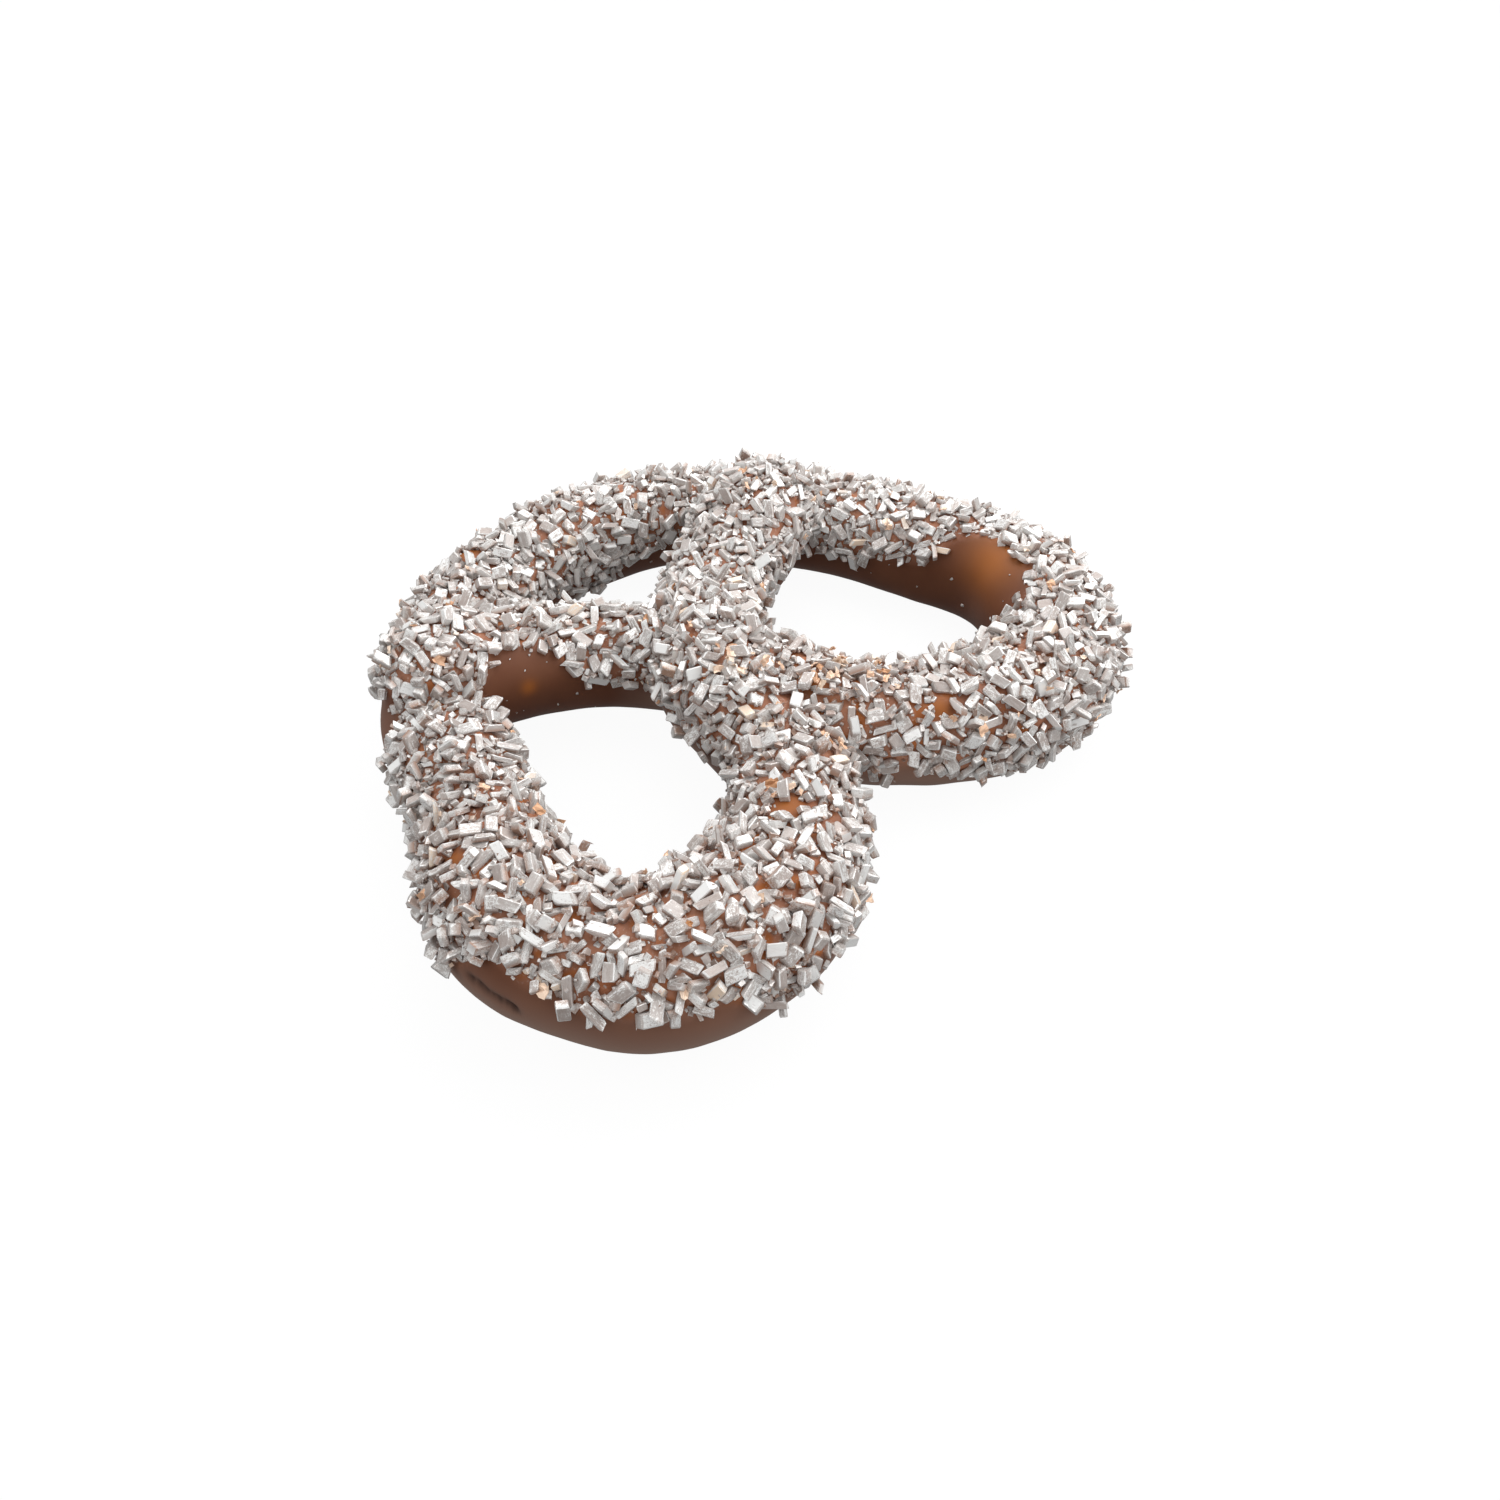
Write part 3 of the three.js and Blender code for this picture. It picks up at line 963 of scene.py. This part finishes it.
def pearlSugar(name):
    # cloudy crystals with a pearly dusting and painted highlights: bright streaky patches and edges, and the
    # chocolate's brown showing through the part that sits in it
    finish = Finish(name)
    tint = finish.layer("tint")
    grain = finish.node("ShaderNodeAttribute", {"attribute_name": "grain"}).outputs["Vector"]

    def clouds(stretch, detail):
        place = finish.node("ShaderNodeVectorMath", {"operation": "MULTIPLY"}, (grain, stretch))
        made = finish.node(
            "ShaderNodeTexNoise",
            {"noise_dimensions": "4D"},
            Vector=place.outputs[0],
            W=tint * sugarFinish["tintStep"],
            Scale=1.0,
            Detail=detail,
        )
        return Shade(finish.tree, made.outputs["Fac"])

    streaks = clouds(*sugarFinish["streaks"])
    patches = clouds(*sugarFinish["patches"])
    specks = clouds(*sugarFinish["specks"])
    facetStep, crystalStep = sugarFinish["facetStep"]
    face = finish.layer("facet") * facetStep + tint * crystalStep
    facet = finish.node("ShaderNodeTexNoise", {"noise_dimensions": "1D"}, W=face, Detail=0.0)
    facet = Shade(finish.tree, facet.outputs["Fac"])
    sides = finish.node("ShaderNodeVectorMath", {"operation": "ABSOLUTE"}, (grain,)).outputs[0]
    split = finish.node("ShaderNodeSeparateXYZ", Vector=sides)
    x, y, z = [Shade(finish.tree, socket) for socket in split.outputs]
    middling = x + y + z - x.largest(y).largest(z) - x.smallest(y).smallest(z)  # large along an edge
    layers = {
        "tint": tint,
        "facet": facet,
        "patches": patches,
        "streaks": streaks,
        "specks": specks,
        "edges": middling.above(*sugarFinish["edgeAbove"]),
        "flank": finish.layer("flank"),
    }

    def mixed(shares):
        first, *others = [layers[name] * shares[name] for name in layers if name in shares]
        return sum(others, first)

    # painted highlight, with the pearly dusting's sheen: whole facets, streaks, specks and edges turned pale
    pearlHighlight = mixed(sugarFinish["shine"]).above(*sugarFinish["pearlHighlightAbove"])
    height = Shade(finish.tree, finish.node("ShaderNodeSeparateXYZ", Vector=grain).outputs["Z"])
    start, climb = sugarFinish["filmTop"]
    top = finish.layer("film") * climb + start
    film = top - height + (patches - 0.5) * sugarFinish["filmRaggedness"]
    low = (film * sugarFinish["filmSteepness"]).clamped()
    dense, thinner = sugarFinish["filmShare"]

    lightness = (mixed(sugarFinish["tone"]) - sugarFinish["darkest"]).clamped()
    tone = finish.ramp(lightness, sugarFinish["tones"])
    tone = finish.blend(tint.above(*sugarFinish["peachAbove"]), tone, sugarFinish["peach"])
    pale = finish.blend(pearlHighlight, tone, sugarFinish["pearlHighlight"])
    colour = finish.blend(low * (dense - pearlHighlight * thinner), pale, sugarFinish["film"])
    relief = sugarFinish["relief"]
    metallic, shinier = sugarFinish["metallic"]
    rough, smoother = sugarFinish["roughness"]
    coatWeight, coatRoughness = sugarFinish["coat"]
    return finish.surface(
        Base_Color=colour,
        Metallic=metallic + pearlHighlight * shinier,
        Roughness=rough - pearlHighlight * smoother,
        Normal=finish.bump(mixed(relief), relief["strength"], relief["distance"]),
        Coat_Weight=coatWeight,
        Coat_Roughness=coatRoughness,
    )


copperFinish = {
    "tones": ((0.0, (0.42, 0.17, 0.05)), (0.3, (0.75, 0.48, 0.32)), (1.0, (0.92, 0.76, 0.62))),
    "roughness": 0.4,
    "metallic": 0.25,
}


def copperFleck():
    finish = Finish("copper fleck")
    return finish.surface(
        Base_Color=finish.ramp(finish.layer("tint"), copperFinish["tones"]),
        Roughness=copperFinish["roughness"],
        Metallic=copperFinish["metallic"],
    )


def settle(piece):
    # millimetres to metres, in the mesh, and on to the part's one body
    piece.data.transform(Matrix.Scale(mm, 4))
    piece.data.update()
    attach(piece, "root")


# The view of the photograph, in millimetres and degrees
camera = {
    "target": (-1.93, -6.7, 0.0),
    "distance": 95.0,
    "azimuth": -43.23,
    "elevation": 45.98,
    "lens": 25.81,
    "sensor": 36,
}


def makeCamera():
    azimuth, elevation = math.radians(camera["azimuth"]), math.radians(camera["elevation"])
    away = Vector((math.sin(azimuth), -math.cos(azimuth), math.tan(elevation))).normalized()
    data = bpy.data.cameras.new("camera")
    data.lens = camera["lens"]
    data.sensor_width = camera["sensor"]
    data.clip_start = 0.001
    eye = bpy.data.objects.new("camera", data)
    eye.location = (Vector(camera["target"]) + away * camera["distance"]) * mm
    eye.rotation_euler = (-away).to_track_quat("-Z", "Y").to_euler()
    bpy.context.scene.collection.objects.link(eye)
    bpy.context.scene.camera = eye


studio = {
    "lights": [  # where, in metres, how wide and how many watts
        ("key softbox", (-0.33, 0.42, 0.62), 0.8, 0.5),
        ("back softbox", (0.075, 0.05, 0.12), 0.18, 0.2),
        ("side softbox", (0.13, -0.085, 0.11), 0.16, 0.17),
        ("table glow", (-0.2, -0.25, 0.03), 0.055, 0.14),
    ],
    "table": {"size": 2, "colour": (0.05, 0.05, 0.05), "roughness": 0.8, "specular": 0.1},
    "tableGlow": 0.95,
    "viewerSide": 0.62,  # how bright the room is behind the viewer, against the far side
    "walls": (  # from straight below up to straight overhead, the horizon at 0.5
        (0.0, (0.24, 0.24, 0.24)),
        (0.44, (0.32, 0.32, 0.32)),
        (0.5, (0.84, 0.84, 0.84)),
        (1.0, (0.84, 0.84, 0.84)),
    ),
}


def makeStage():
    top = studio["table"]
    bm = bmesh.new()
    bmesh.ops.create_grid(bm, x_segments=1, y_segments=1, size=top["size"])
    finish = Finish("white table")
    material = finish.surface(
        Base_Color=top["colour"],
        Roughness=top["roughness"],
        Specular_IOR_Level=top["specular"],
        Emission_Color=(1, 1, 1),
        Emission_Strength=studio["tableGlow"],
    )
    table = newPiece("table", bm, material)
    table.visible_diffuse = False  # the dark undersides get none of its glow
    table.visible_glossy = False

    # pale walls all round and overhead, a little dimmer behind the viewer and dark below the table
    world = bpy.data.worlds.new("studio")
    bpy.context.scene.world = world
    world.use_nodes = True
    tree = world.node_tree
    tree.nodes.clear()
    way = addNode(tree, "ShaderNodeTexCoord").outputs["Generated"]
    height = Shade(tree, addNode(tree, "ShaderNodeSeparateXYZ", Vector=way).outputs["Z"]) * 0.5 + 0.5
    shade = addNode(tree, "ShaderNodeValToRGB", {"stops": studio["walls"]}, Fac=height).outputs["Color"]
    azimuth = math.radians(camera["azimuth"])
    towards = (math.sin(azimuth), -math.cos(azimuth), 0)
    near = addNode(tree, "ShaderNodeVectorMath", {"operation": "DOT_PRODUCT"}, (way, towards))
    far = 1 - Shade(tree, near.outputs["Value"]).clamped()
    dim = far * (1 - studio["viewerSide"]) + studio["viewerSide"]
    background = addNode(tree, "ShaderNodeBackground", Color=shade, Strength=dim)
    addNode(tree, "ShaderNodeOutputWorld", Surface=background.outputs[0])
    bpy.context.scene.view_settings.view_transform = "Standard"


def addLight(name, place, size, power):
    data = bpy.data.lights.new(name, "AREA")
    data.size = size
    data.energy = power
    light = bpy.data.objects.new(name, data)
    light.location = place
    light.rotation_euler = (-Vector(place)).to_track_quat("-Z", "Y").to_euler()
    light.visible_camera = False
    bpy.context.scene.collection.objects.link(light)


makeCamera()
makeStage()
for name, place, size, power in studio["lights"]:
    addLight(name, place, size, power)
print("stage, lights and camera done")

rings = strandRings()
ringTree = KDTree(len(rings))
for i, ring in enumerate(rings):
    ringTree.insert(ring["middle"], i)
ringTree.balance()
body = makeChocolate(rings, ringTree, milkChocolate())
print("chocolate twist done:", len(body.data.polygons), "faces")

crystals = strewSugar(body, rings, ringTree)
finish = pearlSugar("pearl sugar")
sugarPieces = []
for i, kind in enumerate(sugar["kinds"]):
    strewn = [crystal for crystal in crystals if crystal["kind"] == kind]
    sugarPieces.append(scatter(kind, crystalShapes(sugar["seed"] + i), strewn, finish))
    print(kind, "done:", len(strewn))
bits = strewDust(body, rings, ringTree)
sugarPieces.append(scatter("sugar_dust", dustShapes(), bits, finish))
print("sugar dust done:", len(bits))

fleckSpots = strewFlecks(body, rings, ringTree)
fleckPiece = scatter("copper_flecks", fleckShapes(), fleckSpots, copperFleck())
print("copper flecks done:", len(fleckSpots))

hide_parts("pretzel")
settle(body)
for piece in sugarPieces:
    settle(piece)
settle(fleckPiece)
